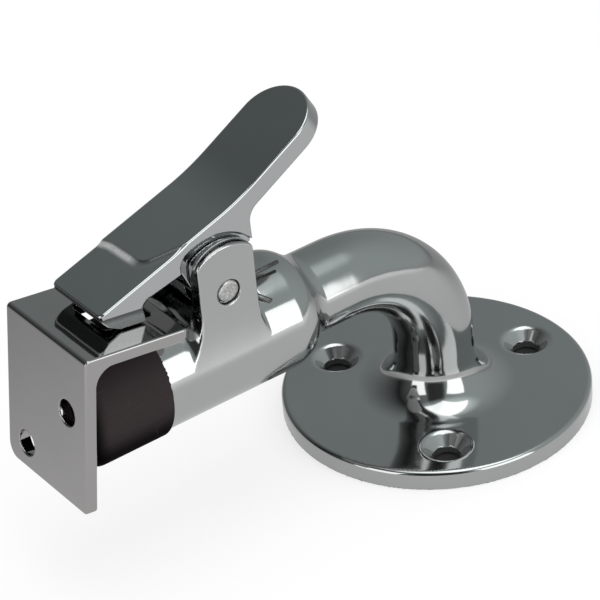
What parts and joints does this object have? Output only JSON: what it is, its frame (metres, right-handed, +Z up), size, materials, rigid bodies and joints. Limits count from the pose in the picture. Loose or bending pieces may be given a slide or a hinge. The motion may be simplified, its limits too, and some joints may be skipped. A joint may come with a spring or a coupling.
{
  "type": "door stop catch",
  "caption": "Floor-mounted gooseneck door stop with a rubber buffer and a sprung catch lever that holds an angle keeper screwed to the door.",
  "frame": {"origin": "centre of the floor flange's mounting face", "axes": "+Z up along the neck, the arm reaches along -X towards the buffer and the keeper, +Y across"},
  "size_m": [0.1166, 0.06, 0.0783],
  "materials": {
    "polished_body": "mirror polish",
    "polished_lever": "mirror polish",
    "polished_keeper": "mirror polish",
    "pin_steel": "satin",
    "spring_steel": "drawn",
    "buffer_rubber": "smooth, slightly scratched"
  },
  "bodies": {
    "stop": {"body_casting": "polished_body", "pivot_pin": "pin_steel", "catch_spring": "spring_steel", "rubber_buffer": "buffer_rubber", "keeper_plate": "polished_keeper"},
    "lever": {"catch_lever": "polished_lever"}
  },
  "joints": [
    {"name": "catch_pivot", "type": "hinge", "parent": "stop", "child": "lever", "pos_m": [-0.051, 0, 0.05205], "axis": [0, 1, 0], "range_deg": [0, 14], "stiffness_Nm_per_rad": 0.8, "springref_deg": -20, "deforming": ["catch_spring"]}
  ]
}
